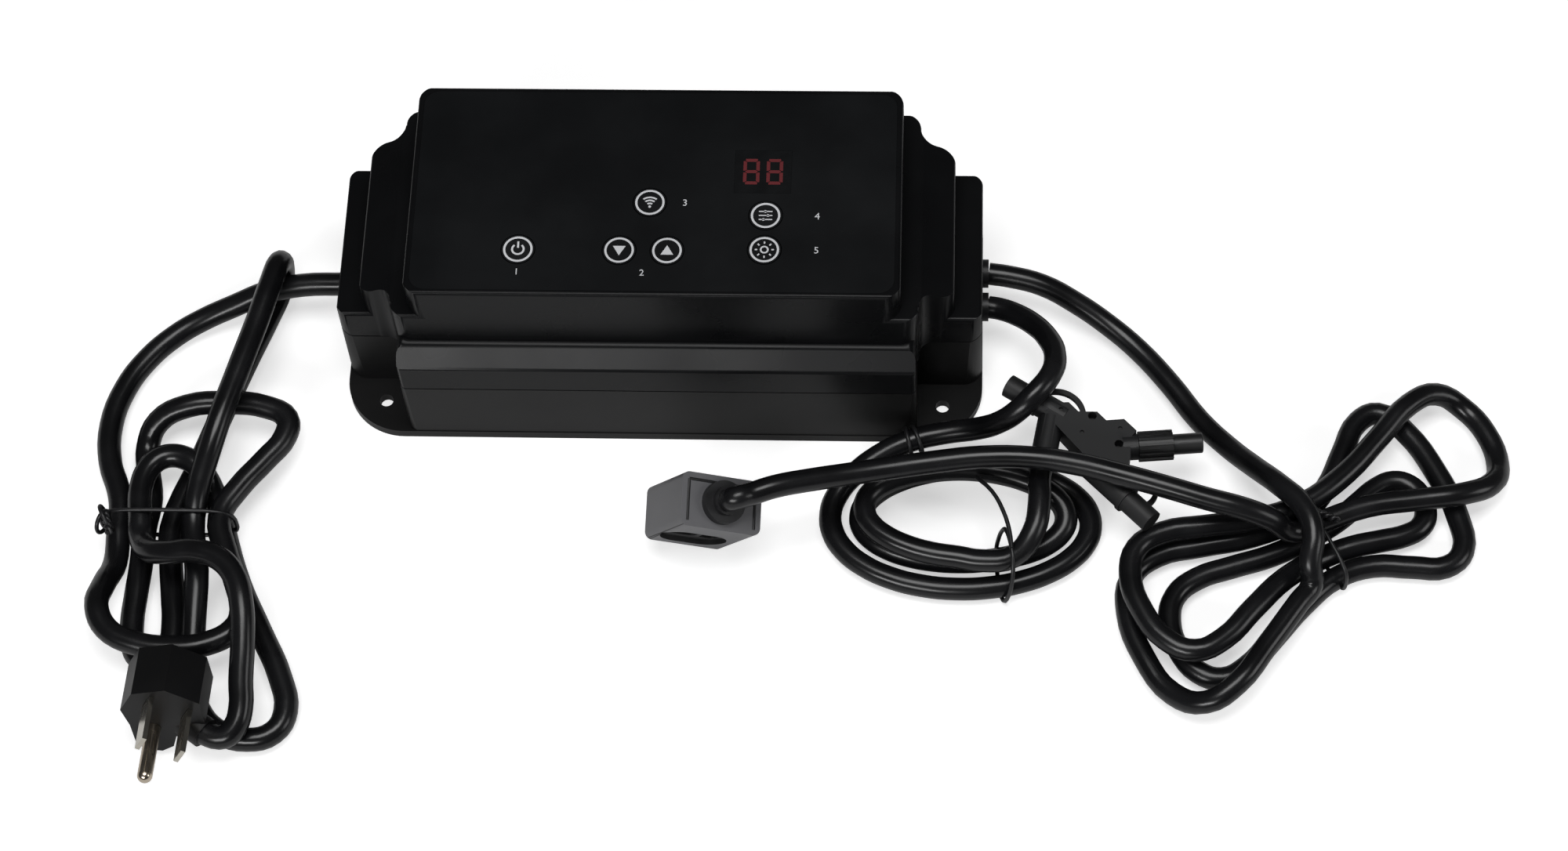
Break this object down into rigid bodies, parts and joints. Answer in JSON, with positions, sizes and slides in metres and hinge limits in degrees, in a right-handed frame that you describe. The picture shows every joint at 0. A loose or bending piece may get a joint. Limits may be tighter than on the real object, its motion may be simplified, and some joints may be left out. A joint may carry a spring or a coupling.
{
  "type": "smart power supply",
  "caption": "Wall-mounted smart power supply: stepped black case with push keys and a display, a power cord with plug, an output cord and a sensor cord, each wound and tied.",
  "frame": {"origin": "middle of the case on the plane of its flat mounting face", "axes": "+X to the right along the case, +Y to its far side, +Z out of the mounting face, towards the panel"},
  "size_m": [0.4596, 0.2289, 0.076],
  "materials": {
    "base_plastic": "satin",
    "cover_plastic": "semi-gloss",
    "panel_film": "satin film",
    "window_pane": "tinted",
    "key_plastic": "satin",
    "seal_rubber": "matte",
    "screw_steel": "plated",
    "display_body": "matte",
    "board_laminate": "solder mask",
    "black_plastic": "matte",
    "shield_metal": "tinned",
    "ribbon_plastic": "matte",
    "ferrite": "matte",
    "pale_plastic": "matte",
    "copper_wire": "enamelled copper",
    "capacitor_sleeve": "gloss sleeve",
    "sink_metal": "extruded",
    "relay_plastic": "matte",
    "fuse_glass": "clear",
    "contact_metal": "bright",
    "terminal_plastic": "matte",
    "relief_rubber": "matte",
    "cord_jacket": "semi-gloss jacket",
    "tie_plastic": "satin",
    "plug_plastic": "semi-gloss",
    "blade_metal": "nickel plated",
    "splitter_plastic": "satin",
    "cap_rubber": "matte",
    "head_plastic": "satin",
    "cell_lens": "dark lens"
  },
  "bodies": {
    "case": {"base_housing": "base_plastic", "base_gasket": "seal_rubber", "top_cover": "cover_plastic", "panel_overlay": "panel_film", "display_window": "window_pane", "housing_screws": "screw_steel", "display_module": "display_body", "control_board": "board_laminate", "tact_switches": "black_plastic", "control_chip": "black_plastic", "radio_module": "shield_metal", "ribbon_cable": "ribbon_plastic", "control_screws": "screw_steel", "main_board": "board_laminate", "board_screws": "screw_steel", "transformer_core": "ferrite", "transformer_bobbin": "pale_plastic", "transformer_winding": "copper_wire", "choke_core": "ferrite", "choke_winding": "copper_wire", "input_capacitor": "capacitor_sleeve", "output_capacitors": "capacitor_sleeve", "rectifier": "black_plastic", "heat_sink": "sink_metal", "power_transistors": "black_plastic", "relay": "relay_plastic", "fuse": "fuse_glass", "fuse_clips": "contact_metal", "terminal_blocks": "terminal_plastic", "inner_leads": "ribbon_plastic", "power_strain_relief": "relief_rubber", "output_strain_reliefs": "relief_rubber", "power_cord": "cord_jacket", "power_hank": "cord_jacket", "plug_lead": "cord_jacket", "power_tie": "tie_plastic", "plug_body": "plug_plastic", "plug_blades": "blade_metal", "ground_pin": "contact_metal", "output_cord": "cord_jacket", "output_coil": "cord_jacket", "output_lead": "cord_jacket", "output_tie": "tie_plastic", "splitter_body": "splitter_plastic", "splitter_caps": "cap_rubber", "connector_nut": "black_plastic", "connector_insert": "black_plastic", "sensor_cord": "cord_jacket", "sensor_coil": "cord_jacket", "sensor_lead": "cord_jacket", "sensor_tie": "tie_plastic", "sensor_housing": "head_plastic", "sensor_boot": "relief_rubber", "sensor_cell": "cell_lens"},
    "key_power": {"key_power": "key_plastic"},
    "key_down": {"key_down": "key_plastic"},
    "key_up": {"key_up": "key_plastic"},
    "key_pair": {"key_pair": "key_plastic"},
    "key_mode": {"key_mode": "key_plastic"},
    "key_set": {"key_set": "key_plastic"}
  },
  "joints": [
    {"name": "key_power_press", "type": "slide", "parent": "case", "child": "key_power", "axis": [0, 0, -1], "range_m": [0, 0.0005], "stiffness_N_per_m": 800, "springref_m": -0.0005},
    {"name": "key_down_press", "type": "slide", "parent": "case", "child": "key_down", "axis": [0, 0, -1], "range_m": [0, 0.0005], "stiffness_N_per_m": 800, "springref_m": -0.0005},
    {"name": "key_up_press", "type": "slide", "parent": "case", "child": "key_up", "axis": [0, 0, -1], "range_m": [0, 0.0005], "stiffness_N_per_m": 800, "springref_m": -0.0005},
    {"name": "key_pair_press", "type": "slide", "parent": "case", "child": "key_pair", "axis": [0, 0, -1], "range_m": [0, 0.0005], "stiffness_N_per_m": 800, "springref_m": -0.0005},
    {"name": "key_mode_press", "type": "slide", "parent": "case", "child": "key_mode", "axis": [0, 0, -1], "range_m": [0, 0.0005], "stiffness_N_per_m": 800, "springref_m": -0.0005},
    {"name": "key_set_press", "type": "slide", "parent": "case", "child": "key_set", "axis": [0, 0, -1], "range_m": [0, 0.0005], "stiffness_N_per_m": 800, "springref_m": -0.0005}
  ]
}
